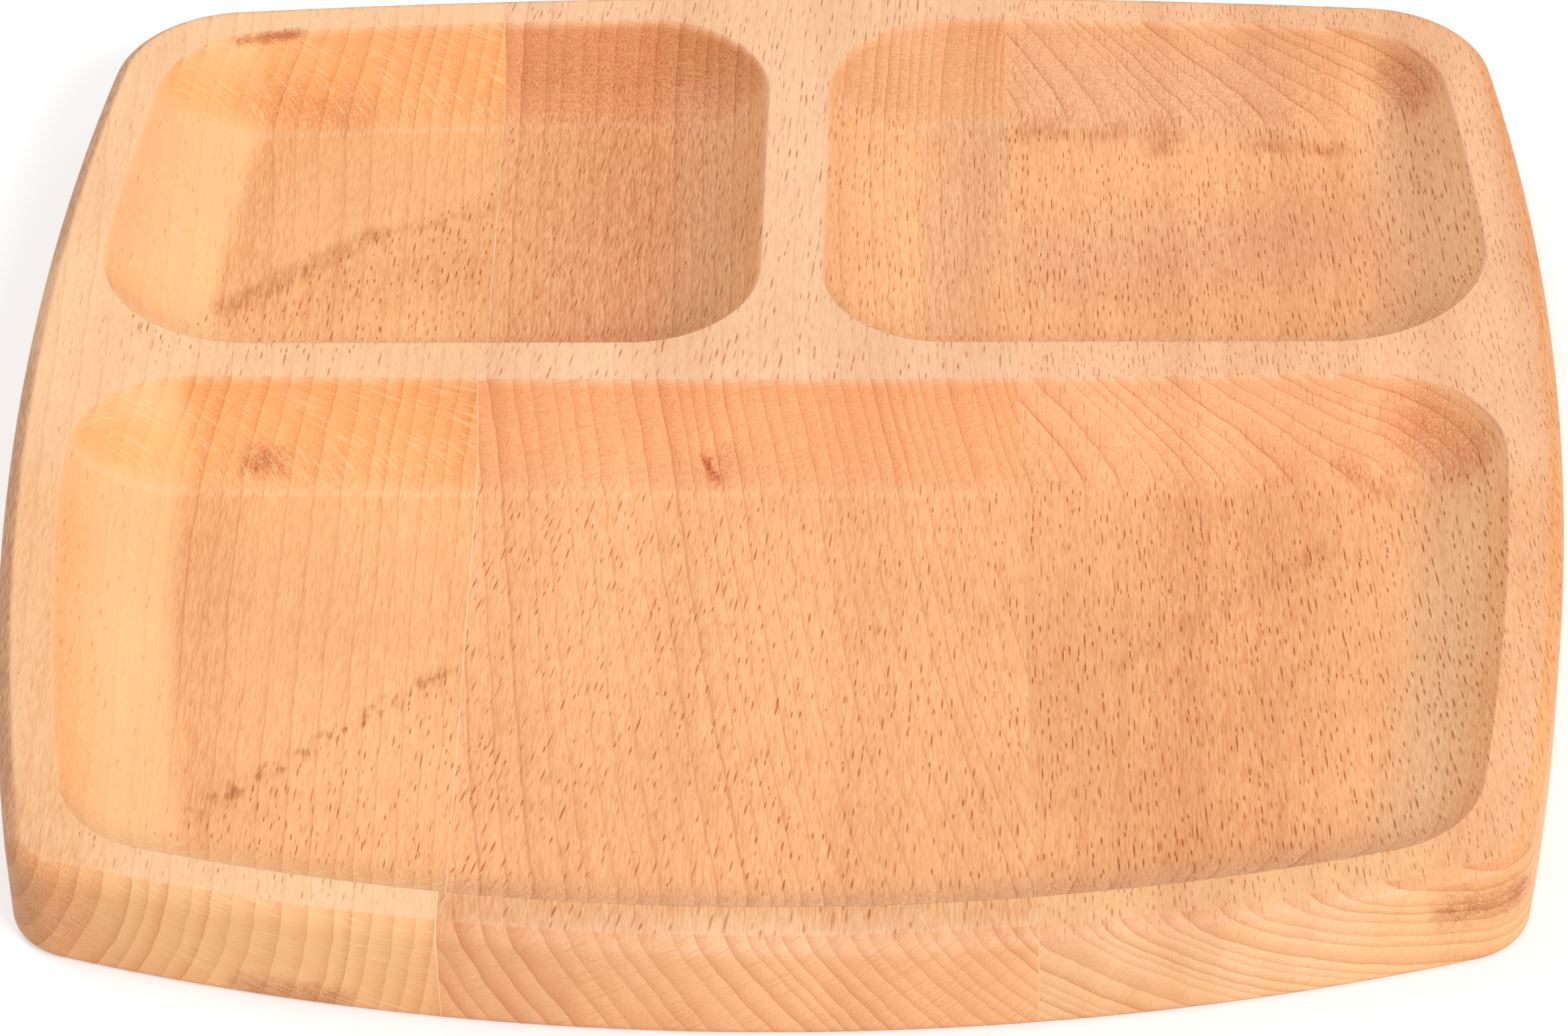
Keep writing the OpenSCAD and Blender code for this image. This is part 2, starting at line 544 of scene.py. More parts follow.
@dataclass(frozen=True)
class FleckPatch:
    """A part of the board that shows more flecks than the rest, on one side of a line.

    Attributes:
        middle: Middle of the line, in mm.
        into: Direction from the line into the patch.
        reach: How far from the middle the patch goes.
        more: How much larger a share of the cells holds a fleck there.
    """

    middle: Point3
    into: Point3
    reach: float
    more: float = 0.5


class Growth(Enum):
    """Uneven growths that run through the wood.

    Each has the size of its features across, along and through the board, in mm, the number of its finer
    layers, and an offset that tells it from the others.
    """

    WANDER = (55.0, 110.0, 55.0), 2.0, 3.7
    RIPPLE = (4.0, 8.0, 4.0), 1.0, 7.9
    # Real pores are finer, and are drawn as coarse as they need to be to show
    PORES = (0.24, 3.0, 0.24), 1.0, 11.3
    BLOTCH = (42.0, 42.0, 42.0), 2.0, 23.1
    BANDS = (12.0, 260.0, 36.0), 4.0, 31.9
    RAGGED = (1.8, 3.0, 1.8), 3.0, 41.3
    SPOTS = (1.04, 3.12, 2.6), 1.0, 53.9


@dataclass(frozen=True)
class BeechFigure:
    """What all beech boards share: how the tree grew, and how planing, routing and oiling show it.

    A pair says where something starts and where it is complete. A slope is the part of the surface's
    normal that lies along one direction.

    Attributes:
        rim_w: Width of the rim, inside which the wood is hollowed.
        rim_margin: How far short of the rim's inner edge a place starts to count as inside it.
        lip_drop: How far below the rim the tone of the hollows takes over.
        end_slope: Slope along the grain that turns face grain into end grain.
        side_slope: Slope to the side at which a wall starts to have its own colour.
        back_slope: Slope to the back that gives a wall the tone of the rim.
        outer_slope: Slope away from the middle that makes an outer side.
        edge_slope: Slope upwards below which the surface is an outer edge.
        foot_start: Slope to the front where the painted highlight at the foot of a wall starts.
        foot_end: The same where it ends, further up the wall.
        ring_r: Distance from the pith at which rings have the width that the finish gives.
        ring_wander: How far the rings sway in broad waves.
        ring_ripple: How far they sway in small ones.
        spell_rate: How often wide and narrow years take turns, for each year.
        spell_swing: By how many years that shifts them.
        weakest_year: How dark the late wood of the weakest year is.
        late_start: Shares of the year over which the line of late wood darkens.
        late_line: How dark that line gets.
        year_end: Shares of the year over which it stops.
        season_power: How late in the year the wood between the lines darkens.
        face_fade: How dark that wood gets along the grain.
        edge_fade: The same on the outer edges across the grain.
        ray_r: Distance from the pith at which a ray has its width.
        ray_w: Width of a ray.
        ray_length: Length of a ray.
        ray_depth: How far a ray goes along the grain.
        ray_range: Values of the growth between which a ray comes up.
        fleck_scatter: How far the flecks stray from even rows.
        fleck_shortening: How much shorter than the longest fleck the others are.
        fleck_edge: Shares of a fleck's half size between which it comes up.
        fleck_full: How far within the share of flecks a cell's chance lies to show its fleck in full.
        patch_edge: How sharply a patch of flecks starts at its line.
        patch_core: Share of a patch's reach that holds all its flecks.
        mark_wobble: How far a mark's ragged edge strays.
        mark_pores: Values of the pores between which a mark shows more.
        mark_break: How much of a mark shows there.
        spot_range: Values of the growth between which a broken mark shows a spot.
        rim_figure: How much of the figure the sanded rim shows.
        pore_tint: Colour of the pores, on the pale wood.
        pore_range: Values of the growth between which a pore comes up.
        blotch_range: The same for broad blotches.
        band_range: The same for bands along the grain.
        blotch_strength: How strongly the blotches show.
        dull_pores: Values of the pores between which the oil dulls.
        roughness: Dullness of the oiled wood there.
        fleck_pit: How deep a fleck lies, against a pore.
        bump_strength: How strongly pits and pores break the light.
        bump_h: Depth of the pits.
        ior: Refractive index of oiled wood.
    """

    rim_w: float = Compartments.rim_w
    rim_margin: Pair = (1.5, 0.5)
    lip_drop: Pair = (0.1, 1.6)
    end_slope: Pair = (0.05, 0.3)
    side_slope: float = 0.02
    back_slope: Pair = (0.05, 0.5)
    outer_slope: Pair = (0.05, 0.35)
    edge_slope: Pair = (0.45, 0.2)
    foot_start: Pair = (-0.01, -0.04)
    foot_end: Pair = (-0.15, -0.07)
    ring_r: float = 120.0
    ring_wander: float = 4.8
    ring_ripple: float = 0.7
    spell_rate: float = 0.23
    spell_swing: float = 2.2
    weakest_year: float = 0.5
    late_start: Pair = (0.8, 0.94)
    late_line: float = 0.85
    year_end: Pair = (0.95, 1.0)
    season_power: float = 1.6
    face_fade: float = 0.35
    edge_fade: float = 0.8
    ray_r: float = 90.0
    ray_w: float = 0.22
    ray_length: float = 8.0
    ray_depth: float = 3.0
    ray_range: Pair = (0.52, 0.7)
    fleck_scatter: float = 0.95
    fleck_shortening: Pair = (0.8, 2.6)
    fleck_edge: Pair = (1.15, 0.4)
    fleck_full: float = 0.7
    patch_edge: Pair = (-0.5, 1.5)
    patch_core: float = 0.75
    mark_wobble: float = 4.4
    mark_pores: Pair = (0.35, 0.65)
    mark_break: Pair = (0.6, 1.15)
    spot_range: Pair = (0.45, 0.62)
    rim_figure: float = 0.55
    pore_tint: str = "#e8c096"
    pore_range: Pair = (0.38, 0.7)
    blotch_range: Pair = (0.4, 0.68)
    band_range: Pair = (0.42, 0.7)
    blotch_strength: float = 0.18
    dull_pores: Pair = (0.2, 0.8)
    roughness: Pair = (0.44, 0.62)
    fleck_pit: float = -0.6
    bump_strength: float = 0.25
    bump_h: float = 0.08
    ior: float = 1.46


@dataclass(frozen=True)
class BeechFinish:
    """Beech, planed, routed, sanded and oiled, as one board of the tree shows it.

    Across the end grain the eye sees year rings and fine rays, along the grain short dark flecks where
    the rays are cut, and fine pores everywhere. Oil leaves a dull sheen, and the tone is deeper in the
    hollows than on the rim.

    Attributes:
        name: Name of the material.
        rim_tone: Colour of the sanded rim.
        hollow_tone: Colour on the floors and the coved walls.
        wall_tone: Colour of the walls along the sides, which are cut closer to the rays; on walls that face
            away from the key it is partly painted light.
        edge_tone: Colour of the sawn and sanded outer edges.
        end_tint: What end grain takes away from the colour.
        late_tint: Colour of the late wood at the end of a year ring, on the pale wood.
        fleck_tint: Colour of the flecks, on the pale wood.
        pith: Where the middle of the tree lay, across and up from the plate's middle.
        pith_slope: How far the pith sinks for each mm towards the back.
        ring_pitch: Width of a year ring at a middling distance from the pith.
        face_rings: How strongly the rings show along the grain.
        end_rings: How strongly they show on end grain.
        ray_tone: Colour of the rays on end grain.
        ray_strength: How strongly they show.
        span: From where to where the stave goes, across the plate.
        fleck_leans: Lean of the flecks from the front-to-back line there, in degrees.
        fleck_share: Share of the cells that hold a fleck.
        band_strength: How strongly broad bands along the grain show.
        seed: Offset that makes each board its own.
        marks: Streaks, spots and painted shade in this board.
        patches: Parts of the board with more flecks.
        ring_growth: How strongly the rings widen away from the pith, from 0 for not at all to just under 1.
        wall_fade: How dark the wood between the rings gets on coved walls that cut across the grain.
        fleck_cell: Size of the cell that each fleck has to itself, across, along and through the board.
        fleck_half: Half the size of the longest fleck.
        rim_flecks: How strongly the flecks show on the rim.
        rim_fineness: How much finer they are there than in the hollows.
        wall_flecks: How strongly they show on the coved walls that cut across the grain.
        pore_strength: How strongly the pores show.
        painted_foot_highlight: How much paler the wood is painted at the foot of the back walls, a painted
            highlight.
        wall_figure: How much of the rings and pores the walls along the sides show.
        wall_blend: How steep a side wall is, as the sine of its slope, where it has its own colour.
        outline: Edges of the whole board.
        figure: What this board shares with all beech.
    """

    name: str
    rim_tone: str
    hollow_tone: str
    wall_tone: str
    edge_tone: str
    end_tint: str
    late_tint: str
    fleck_tint: str
    pith: Pair
    pith_slope: float
    ring_pitch: float
    face_rings: float
    end_rings: float
    ray_tone: str
    ray_strength: float
    span: Pair
    fleck_leans: Pair
    fleck_share: float
    band_strength: float
    seed: float
    marks: tuple[Mark, ...] = ()
    patches: tuple[FleckPatch, ...] = ()
    ring_growth: float = 0.0
    wall_fade: float = 0.65
    fleck_cell: Point3 = (1.1, 4.2, 1.8)
    fleck_half: Point3 = (0.17, 2.1, 1.8)
    rim_flecks: float = 1.0
    rim_fineness: float = 1.0
    wall_flecks: float = 0.0
    pore_strength: float = 0.55
    painted_foot_highlight: float = 0.25
    wall_figure: float = 1.0
    wall_blend: float = 0.2
    outline: tuple[PlanEdge, ...] = field(default_factory=lambda: Board().sides())
    figure: BeechFigure = BeechFigure()

    def material(self) -> bpy.types.Material:
        """Makes the material.

        Returns:
            The material, with its tree.
        """
        made = bare_material(self.name)
        BeechNodes(self, made.node_tree).wire()
        return made


@dataclass
class BeechNodes:
    """The node tree of one beech finish.

    What it finds about the surface runs from 0 for not at all to 1 for fully.

    Attributes:
        finish: The finish that it shows.
        tree: The material's own tree.
        place: Place in the board, in mm.
        across: That place from left to right.
        along: The same from front to back, along the grain.
        height: The same upwards.
        sunk: Whether the surface lies in a hollow.
        end_grain: Whether it cuts across the grain.
        sideways: Whether it faces either side.
        backward: Whether it faces the back.
        outward: Whether it faces away from the middle.
        upright: Whether it is an outer edge.
        foot: Whether it is the foot of a back wall, which gets a painted highlight.
    """

    finish: BeechFinish
    tree: bpy.types.NodeTree
    place: bpy.types.Node = field(init=False)
    across: bpy.types.NodeSocket = field(init=False)
    along: bpy.types.NodeSocket = field(init=False)
    height: bpy.types.NodeSocket = field(init=False)
    sunk: bpy.types.Node = field(init=False)
    end_grain: bpy.types.Node = field(init=False)
    sideways: bpy.types.Node = field(init=False)
    backward: bpy.types.Node = field(init=False)
    outward: bpy.types.Node = field(init=False)
    upright: bpy.types.Node = field(init=False)
    foot: bpy.types.Node = field(init=False)

    def __post_init__(self) -> None:
        """Finds the place in the board, in mm, and how the surface there is cut."""
        figure, tree = self.finish.figure, self.tree
        coords = add_node(tree, Kind.COORDS).outputs
        self.place = add_node(tree, Kind.VECTOR, coords["Object"], named={"Scale": 1 / MM}, operation="SCALE")
        split = add_node(tree, Kind.SPLIT, self.place).outputs
        self.across, self.along, self.height = (split[name] for name in "XYZ")
        lip = (Board.thickness - drop for drop in figure.lip_drop)
        low = add_node(tree, Kind.RANGE, self.height, *lip, **SOFT)
        self.sunk = add_node(tree, Kind.MATH, low, self.within_rim(), operation="MULTIPLY")
        facing = add_node(tree, Kind.SPLIT, coords["Normal"]).outputs
        lengthwise = add_node(tree, Kind.MATH, facing["Y"], operation="ABSOLUTE")
        self.end_grain = add_node(tree, Kind.RANGE, lengthwise, *figure.end_slope, **SOFT)
        aside = add_node(tree, Kind.MATH, facing["X"], operation="ABSOLUTE")
        blend = figure.side_slope, self.finish.wall_blend
        self.sideways = add_node(tree, Kind.RANGE, aside, *blend, **SOFT)
        self.backward = add_node(tree, Kind.RANGE, facing["Y"], *figure.back_slope, **SOFT)
        hand = add_node(tree, Kind.MATH, self.across, operation="SIGN")
        outer = add_node(tree, Kind.MATH, facing["X"], hand, operation="MULTIPLY")
        self.outward = add_node(tree, Kind.RANGE, outer, *figure.outer_slope, **SOFT)
        # The coved walls are never as steep as the outer edges
        self.upright = add_node(tree, Kind.RANGE, facing["Z"], *figure.edge_slope, **SOFT)
        # Painted highlight: a band where a wall that faces the front runs out into the floor
        highlight_rise = add_node(tree, Kind.RANGE, facing["Y"], *figure.foot_start, **SOFT)
        highlight_fall = add_node(tree, Kind.RANGE, facing["Y"], *figure.foot_end, **SOFT)
        self.foot = add_node(tree, Kind.MATH, highlight_rise, highlight_fall, operation="MULTIPLY")

    def within_rim(self) -> bpy.types.Node:
        """Finds what lies inside the rim, and so tells the hollows from the rounded outer edges.

        Returns:
            1 inside the rim and 0 outside.
        """
        figure, tree = self.finish.figure, self.tree
        plan = add_node(tree, Kind.JOIN, self.across, self.along, 0.0)
        inside: bpy.types.Node | None = None
        for edge in self.finish.outline:
            centre = (edge.centre.real, edge.centre.imag, 0.0)
            away = add_node(tree, Kind.VECTOR, plan, centre, operation="DISTANCE")
            margin = add_node(tree, Kind.MATH, edge.radius, away, operation="SUBTRACT")
            inside = add_node(tree, Kind.MATH, inside, margin, operation="MINIMUM") if inside else margin
        limits = (figure.rim_w - out for out in figure.rim_margin)
        return add_node(tree, Kind.RANGE, inside, *limits)

    def uneven(self, growth: Growth) -> bpy.types.Node:
        """Lays an uneven growth through the board.

        Args:
            growth: The growth.

        Returns:
            The growth, about 0.5 in the mean.
        """
        size, detail, offset = growth.value
        per_mm = tuple(1 / length for length in size)
        scaled = add_node(self.tree, Kind.VECTOR, self.place, per_mm, operation="MULTIPLY")
        moved = add_node(self.tree, Kind.VECTOR, scaled, (self.finish.seed + offset,) * 3, operation="ADD")
        return add_node(self.tree, Kind.NOISE, named={"Vector": moved, "Scale": 1.0, "Detail": detail})

    def from_pith(self) -> tuple[bpy.types.Node, bpy.types.Node]:
        """Finds the place in the tree, which wandered as it grew.

        Returns:
            The distance from the pith and the arc length round it, in mm.
        """
        finish, figure, tree = self.finish, self.finish.figure, self.tree
        out = add_node(tree, Kind.MATH, self.across, finish.pith[0], operation="SUBTRACT")
        sunk = add_node(tree, Kind.MATH, self.along, finish.pith_slope, self.height, operation="MULTIPLY_ADD")
        up = add_node(tree, Kind.MATH, sunk, finish.pith[1], operation="SUBTRACT")
        flat = add_node(tree, Kind.JOIN, out, 0.0, up)
        radius = add_node(tree, Kind.VECTOR, flat, operation="LENGTH")
        for growth, sway in ((Growth.WANDER, figure.ring_wander), (Growth.RIPPLE, figure.ring_ripple)):
            radius = add_node(tree, Kind.MATH, self.uneven(growth), sway, radius, operation="MULTIPLY_ADD")
        angle = add_node(tree, Kind.MATH, up, out, operation="ARCTAN2")
        around = add_node(tree, Kind.MATH, angle, figure.ray_r, operation="MULTIPLY")
        return radius, around

    def rings(self, radius: bpy.types.Node) -> bpy.types.Node:
        """Draws the year rings: pale early wood that darkens slowly to a thin line of late wood.

        Args:
            radius: Distance from the pith, in mm.

        Returns:
            How much late wood there is, from 0 to 1.
        """
        finish, figure, tree = self.finish, self.finish.figure, self.tree
        even = 1 - finish.ring_growth
        count = figure.ring_r / finish.ring_pitch / even
        out = add_node(tree, Kind.MATH, radius, figure.ring_r, operation="DIVIDE")
        grown = add_node(tree, Kind.MATH, out, even, operation="POWER")
        years = add_node(tree, Kind.MATH, grown, count, operation="MULTIPLY")
        spells = {"W": years, "Scale": figure.spell_rate, "Detail": 1.0}
        spell = add_node(tree, Kind.NOISE, named=spells, noise_dimensions="1D")
        aged = add_node(tree, Kind.MATH, spell, figure.spell_swing, years, operation="MULTIPLY_ADD")
        year = add_node(tree, Kind.MATH, aged, operation="FLOOR")
        season = add_node(tree, Kind.MATH, aged, operation="FRACT")
        chance = add_node(tree, Kind.CHANCE, named={"W": year}, noise_dimensions="1D")
        strength = add_node(tree, Kind.RANGE, chance, 0.0, 1.0, figure.weakest_year, 1.0)
        fall = add_node(tree, Kind.RANGE, season, *figure.year_end, 1.0, 0.0)
        line = add_node(tree, Kind.RANGE, season, *figure.late_start, 0.0, figure.late_line, **SOFT)
        rise = add_node(tree, Kind.MATH, season, figure.season_power, operation="POWER")
        fade = add_node(tree, Kind.RANGE, self.sunk, 0.0, 1.0, figure.edge_fade, finish.wall_fade)
        share = add_node(tree, Kind.RANGE, self.end_grain, 0.0, 1.0, figure.face_fade, fade)
        slow = add_node(tree, Kind.MATH, rise, share, operation="MULTIPLY")
        late = add_node(tree, Kind.MATH, line, slow, operation="MAXIMUM")
        cut = add_node(tree, Kind.MATH, late, fall, operation="MULTIPLY")
        return add_node(tree, Kind.MATH, cut, strength, operation="MULTIPLY")

    def rays(self, radius: bpy.types.Node, around: bpy.types.Node) -> bpy.types.Node:
        """Draws the rays, thin lines that run out from the pith across the rings.

        Args:
            radius: Distance from the pith, in mm.
            around: Arc length round the pith, in mm.

        Returns:
            How much ray there is, from 0 to 1.
        """
        figure, tree = self.finish.figure, self.tree
        thin = add_node(tree, Kind.MATH, around, figure.ray_w, operation="DIVIDE")
        long = add_node(tree, Kind.MATH, radius, figure.ray_length, operation="DIVIDE")
        deep = add_node(tree, Kind.MATH, self.along, figure.ray_depth, operation="DIVIDE")
        laid = add_node(tree, Kind.JOIN, thin, long, deep)
        lines = add_node(tree, Kind.NOISE, named={"Vector": laid, "Scale": 1.0, "Detail": 1.0})
        return add_node(tree, Kind.RANGE, lines, *figure.ray_range, **SOFT)

    def flecks(self) -> bpy.types.Node:
        """Draws the flecks along the grain, each a thin spindle in a cell of its own.

        Returns:
            How much fleck there is, from 0 to 1.
        """
        finish, figure, tree = self.finish, self.finish.figure, self.tree
        slopes = (math.tan(math.radians(lean)) for lean in finish.fleck_leans)
        slope = add_node(tree, Kind.RANGE, self.across, *finish.span, *slopes)
        drift = add_node(tree, Kind.MATH, slope, self.along, operation="MULTIPLY")
        shift = add_node(tree, Kind.JOIN, drift, 0.0, 0.0)
        # The outer sides cut the flecks edge on as well
        on_edge = add_node(tree, Kind.JOIN, self.height, self.along, self.across)
        seen = add_node(tree, Kind.MIX, self.upright, self.place, on_edge, data_type="VECTOR")
        leaning = add_node(tree, Kind.VECTOR, seen, shift, operation="SUBTRACT")
        spaced = add_node(tree, Kind.VECTOR, leaning, finish.fleck_cell, operation="DIVIDE")
        hollow = add_node(tree, Kind.MATH, self.sunk, 0.5, operation="GREATER_THAN")
        finer = add_node(tree, Kind.RANGE, hollow, 0.0, 1.0, finish.rim_fineness, 1.0)
        cells = add_node(tree, Kind.VECTOR, spaced, named={"Scale": finer}, operation="SCALE")
        layout = {"Vector": cells, "Scale": 1.0, "Randomness": figure.fleck_scatter}
        near = add_node(tree, Kind.CELLS, named=layout).outputs
        off = add_node(tree, Kind.VECTOR, cells, near["Position"], operation="SUBTRACT")
        shares = tuple(cell / half for cell, half in zip(finish.fleck_cell, finish.fleck_half))
        spindle = add_node(tree, Kind.VECTOR, off, shares, operation="MULTIPLY")
        chance = add_node(tree, Kind.SPLIT, near["Color"]).outputs
        shorter = add_node(tree, Kind.RANGE, chance["Y"], 0.0, 1.0, *figure.fleck_shortening)
        stretch = add_node(tree, Kind.JOIN, 1.0, shorter, 1.0)
        own = add_node(tree, Kind.VECTOR, spindle, stretch, operation="MULTIPLY")
        far = add_node(tree, Kind.VECTOR, own, operation="LENGTH")
        body = add_node(tree, Kind.RANGE, far, *figure.fleck_edge, **SOFT)
        spare = add_node(tree, Kind.MATH, self.fleck_share(), chance["X"], operation="SUBTRACT")
        shown = add_node(tree, Kind.RANGE, spare, 0.0, figure.fleck_full)
        return add_node(tree, Kind.MATH, body, shown, operation="MULTIPLY")

    def fleck_share(self) -> bpy.types.Node | float:
        """Finds how many of the cells hold a fleck, which are more in the patches.

        Returns:
            Their share, from 0 up.
        """
        figure, tree = self.finish.figure, self.tree
        share: bpy.types.Node | float = self.finish.fleck_share
        for patch in self.finish.patches:
            off = add_node(tree, Kind.VECTOR, self.place, patch.middle, operation="SUBTRACT")
            side = add_node(tree, Kind.VECTOR, off, patch.into, operation="DOT_PRODUCT")
            inside = add_node(tree, Kind.RANGE, side, *figure.patch_edge)
            far = add_node(tree, Kind.VECTOR, off, operation="LENGTH")
            core = patch.reach * figure.patch_core
            near = add_node(tree, Kind.RANGE, far, patch.reach, core, 0.0, patch.more)
            share = add_node(tree, Kind.MATH, inside, near, share, operation="MULTIPLY_ADD")
        return share

    def ragged_place(self) -> bpy.types.Node:
        """Shifts the place a little from point to point, so that a mark's edge is ragged.

        Returns:
            The shifted place, in mm.
        """
        shake = self.uneven(Growth.RAGGED).outputs["Color"]
        shift = add_node(self.tree, Kind.VECTOR, shake, (0.5, 0.5, 0.5), operation="SUBTRACT")
        wobble = (self.finish.figure.mark_wobble,) * 3
        return add_node(self.tree, Kind.VECTOR, shift, wobble, self.place, operation="MULTIPLY_ADD")

    def stain(self, mark: Mark, ragged: bpy.types.Node) -> bpy.types.Node:
        """Draws a mark as a soft line between two points.

        Args:
            mark: The streak, spot or change of tone.
            ragged: The ragged place, in mm.

        Returns:
            How much of it shows, from 0 to its strength.
        """
        figure, tree = self.finish.figure, self.tree
        run = Vector(mark.end) - Vector(mark.start)
        per_run = tuple(run / run.length_squared)
        place = add_node(tree, Kind.MIX, mark.ragged, self.place, ragged, data_type="VECTOR")
        off = add_node(tree, Kind.VECTOR, place, mark.start, operation="SUBTRACT")
        share = add_node(tree, Kind.VECTOR, off, per_run, operation="DOT_PRODUCT")
        held = add_node(tree, Kind.MATH, share, 0.0, operation="ADD", use_clamp=True)
        nearest = add_node(tree, Kind.VECTOR, tuple(run), named={"Scale": held}, operation="SCALE")
        away = add_node(tree, Kind.VECTOR, off, nearest, operation="SUBTRACT")
        far = add_node(tree, Kind.VECTOR, away, operation="LENGTH")
        spot = add_node(tree, Kind.RANGE, far, mark.reach, 0.0, 0.0, mark.strength, **SOFT)
        masks: list[bpy.types.Node] = []
        if mark.spots:
            cluster, broken = self.uneven(Growth.SPOTS), (1 - mark.spots, 1 + mark.spots)
            masks.append(add_node(tree, Kind.RANGE, cluster, *figure.spot_range, *broken))
        if mark.ground is Ground.SIDE:
            masks.append(self.outward)
        if mark.ground in (Ground.HOLLOW, Ground.FLOOR):
            masks.append(self.sunk)
        if mark.ground is Ground.FLOOR:
            steep = (self.sideways, self.end_grain)
            masks += [add_node(tree, Kind.MATH, 1.0, wall, operation="SUBTRACT") for wall in steep]
        for mask in masks:
            spot = add_node(tree, Kind.MATH, spot, mask, operation="MULTIPLY")
        return spot

    def bare_tone(self) -> bpy.types.Node:
        """Colours the wood before its figure: paler on the rim, deeper in the hollows, with a painted
        highlight at the foot of the back walls.

        Returns:
            The bare colour.
        """
        finish, tree = self.finish, self.tree
        rim, floor, wall = (linear(t) for t in (finish.rim_tone, finish.hollow_tone, finish.wall_tone))
        hollow = add_node(tree, Kind.MIX, self.sideways, floor, wall, data_type="RGBA")
        lighter = add_node(tree, Kind.MIX, self.backward, hollow, rim, data_type="RGBA")
        # Painted highlight: the foot of the back walls is made paler
        highlight_share = add_node(tree, Kind.MATH, self.foot, finish.painted_foot_highlight, operation="MULTIPLY")
        highlighted = add_node(tree, Kind.MIX, highlight_share, lighter, rim, data_type="RGBA")
        inside = add_node(tree, Kind.MIX, self.sunk, rim, highlighted, data_type="RGBA")
        return add_node(tree, Kind.MIX, self.upright, inside, linear(finish.edge_tone), data_type="RGBA")

    def ring_contrast(self, shown: bpy.types.Node) -> bpy.types.Node:
        """Finds how strongly the rings show.

        Args:
            shown: How much of its figure the wood shows.

        Returns:
            The strength of the rings, from 0 to 1.
        """
        finish, tree = self.finish, self.tree
        faces = add_node(tree, Kind.MATH, shown, finish.face_rings, operation="MULTIPLY")
        turning = add_node(tree, Kind.MATH, self.sideways, self.sunk, operation="MULTIPLY")
        faint = finish.end_rings * finish.wall_figure
        ends = add_node(tree, Kind.RANGE, turning, 0.0, 1.0, finish.end_rings, faint)
        return add_node(tree, Kind.RANGE, self.end_grain, 0.0, 1.0, faces, ends)

    def layers(self, dashes: bpy.types.Node, pores: bpy.types.Node, late: bpy.types.Node) -> list[Layer]:
        """Lists what darkens the wood.

        Args:
            dashes: How much fleck there is.
            pores: The growth of the pores.
            late: How much late wood there is.

        Returns:
            Each layer's amount and tint, from the first to the last.
        """
        finish, figure, tree = self.finish, self.finish.figure, self.tree
        torn = add_node(tree, Kind.MATH, self.end_grain, self.backward, operation="SUBTRACT", use_clamp=True)
        on_walls = add_node(tree, Kind.RANGE, self.upright, 0.0, 1.0, finish.wall_flecks, 0.0)
        face_grain = add_node(tree, Kind.RANGE, self.end_grain, 0.0, 1.0, 1.0, on_walls)
        open_grain = add_node(tree, Kind.RANGE, self.sunk, 0.0, 1.0, finish.rim_flecks, 1.0)
        speckled = add_node(tree, Kind.MATH, face_grain, open_grain, operation="MULTIPLY")
        rim_share = add_node(tree, Kind.RANGE, self.sunk, 0.0, 1.0, figure.rim_figure, 1.0)
        wall_share = add_node(tree, Kind.RANGE, self.sideways, 0.0, 1.0, 1.0, finish.wall_figure)
        shown = add_node(tree, Kind.MATH, rim_share, wall_share, operation="MULTIPLY")
        holes = add_node(tree, Kind.RANGE, pores, *figure.pore_range, 0.0, finish.pore_strength)
        blotches = (*figure.blotch_range, 0.0, figure.blotch_strength)
        bands = (*figure.band_range, 0.0, finish.band_strength)
        found: list[Layer] = [
            (torn, finish.end_tint),
            (
                add_node(tree, Kind.MATH, late, self.ring_contrast(shown), operation="MULTIPLY"),
                finish.late_tint,
            ),
            (add_node(tree, Kind.MATH, dashes, speckled, operation="MULTIPLY"), finish.fleck_tint),
            (add_node(tree, Kind.MATH, holes, shown, operation="MULTIPLY"), figure.pore_tint),
            (add_node(tree, Kind.RANGE, self.uneven(Growth.BLOTCH), *blotches), finish.late_tint),
            (add_node(tree, Kind.RANGE, self.uneven(Growth.BANDS), *bands), finish.late_tint),
        ]
        ragged = self.ragged_place()
        broken = add_node(tree, Kind.RANGE, pores, *figure.mark_pores, *figure.mark_break)
        for mark in finish.marks:
            spot = self.stain(mark, ragged)
            found.append((add_node(tree, Kind.MATH, spot, broken, operation="MULTIPLY"), mark.tint))
        return found

    def wire(self) -> None:
        """Wires the layers into the colour, the roughness and the bump."""
        finish, figure, tree = self.finish, self.finish.figure, self.tree
        radius, around = self.from_pith()
        late, lines, dashes = self.rings(radius), self.rays(radius, around), self.flecks()
        pores = self.uneven(Growth.PORES)
        tone = self.bare_tone()
        for amount, tint in self.layers(dashes, pores, late):
            shade = add_node(tree, Kind.MIX, amount, linear("#ffffff"), linear(tint), data_type="RGBA")
            tone = add_node(tree, Kind.MIX, 1.0, tone, shade, data_type="RGBA", blend_type="MULTIPLY")
        ray_share = add_node(tree, Kind.MATH, lines, self.end_grain, operation="MULTIPLY")
        ray_amount = add_node(tree, Kind.MATH, ray_share, finish.ray_strength, operation="MULTIPLY")
        tone = add_node(tree, Kind.MIX, ray_amount, tone, linear(finish.ray_tone), data_type="RGBA")
        rough = add_node(tree, Kind.RANGE, pores, *figure.dull_pores, *figure.roughness)
        pits = add_node(tree, Kind.MATH, dashes, figure.fleck_pit, pores, operation="MULTIPLY_ADD")
        relief = {"Strength": figure.bump_strength, "Distance": figure.bump_h * MM, "Height": pits}
        bump = add_node(tree, Kind.BUMP, named=relief)
        looks = {"Base Color": tone, "Roughness": rough, "Normal": bump, "IOR": figure.ior}
        surface = add_node(tree, Kind.SURFACE, named=looks)
        add_node(tree, Kind.OUTPUT, surface)


